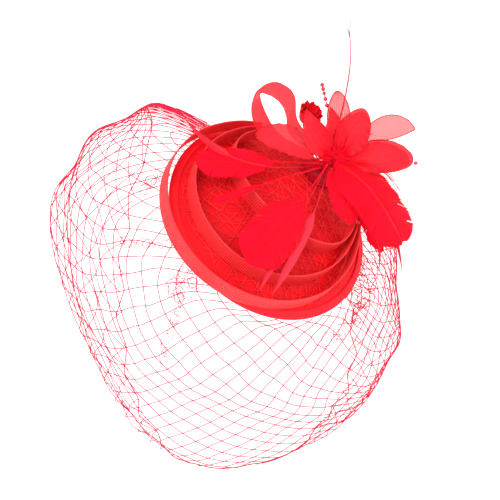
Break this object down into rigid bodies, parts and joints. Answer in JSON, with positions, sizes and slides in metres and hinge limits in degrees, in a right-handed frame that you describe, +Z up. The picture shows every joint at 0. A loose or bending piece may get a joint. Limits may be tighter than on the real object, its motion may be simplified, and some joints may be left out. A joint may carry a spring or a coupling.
{
  "type": "fascinator headpiece",
  "caption": "Fascinator with a shallow domed disc, ribbed strip loops, a cloth flower with feathers and beads, a birdcage net veil, and a sprung hair clip under the disc.",
  "frame": {"origin": "middle of the strip under the disc axis on the flat outer face of the clip's lower arm, which lies on the head", "axes": "+Z up as worn, the wearer faces -Y, +X is the wearer's left; the disc is rolled 28 degrees and pitched 14 degrees"},
  "size_m": [0.2679, 0.2147, 0.3134],
  "materials": {
    "dish_cloth": "fine woven cloth over a stiff shell",
    "felt_lining": "matt felt",
    "rim_ribbon": "narrow ribbed ribbon, stitched",
    "ribbed_strip": "stiff ribbed strip with fine cross ribs",
    "fine_net": "diamond net, one strand about 0.5 mm wide",
    "veil_net": "open diamond net, strands about 0.45 mm wide",
    "feather": "soft barbs on a thin shaft",
    "biot": "stiff stripped feather strip",
    "organza": "sheer woven cloth with a soft shine",
    "rose_cloth": "dense ruffled cloth",
    "stem_tape": "paper tape wound round wire",
    "thread": "twisted thread",
    "bead": "glossy",
    "bright_steel": "bright plated"
  },
  "bodies": {
    "hat": {"disc_dome": "dish_cloth", "disc_lining": "felt_lining", "rim_wire": "bright_steel", "rim_binding": "rim_ribbon", "disc_net": "fine_net", "strip_loop_outer": "ribbed_strip", "strip_loop_middle": "ribbed_strip", "strip_loop_inner": "ribbed_strip", "flower_mount": "felt_lining", "stem_bundle": "stem_tape", "binding_thread": "thread", "feather_left": "feather", "feather_thin": "feather", "feather_centre": "feather", "feather_front": "feather", "feather_right": "feather", "feather_under": "feather", "feather_loose": "feather", "feather_tall": "feather", "feather_left_biot": "biot", "centre_biot_a": "biot", "centre_biot_b": "biot", "right_biot_a": "biot", "right_biot_b": "biot", "petal_left": "organza", "leaf_front": "organza", "leaf_back": "organza", "petal_sheer_top": "organza", "petal_round_top": "organza", "petal_sheer_right": "organza", "petal_oval_right": "organza", "ribbon_loop": "organza", "rose_core": "rose_cloth", "rose_petals_inner": "rose_cloth", "rose_petals_middle": "rose_cloth", "rose_petals_outer": "rose_cloth", "rose_stem": "stem_tape", "bead_wire": "stem_tape", "bead_1": "bead", "bead_2": "bead", "bead_3": "bead", "bead_4": "bead", "bead_5": "bead", "petal_bead": "bead", "clip_pad": "felt_lining", "clip_arched_arm": "bright_steel", "clip_pin": "bright_steel", "clip_spring": "bright_steel", "veil_net": "veil_net"},
    "clip_arm": {"clip_flat_arm": "bright_steel"}
  },
  "joints": [
    {"name": "clip_hinge", "type": "hinge", "parent": "hat", "child": "clip_arm", "pos_m": [0.00707, -0.0051, -0.001], "axis": [-0.5761, -0.8138, 0.0765], "range_deg": [0, 20], "stiffness_Nm_per_rad": 0.06, "springref_deg": -22.92}
  ]
}
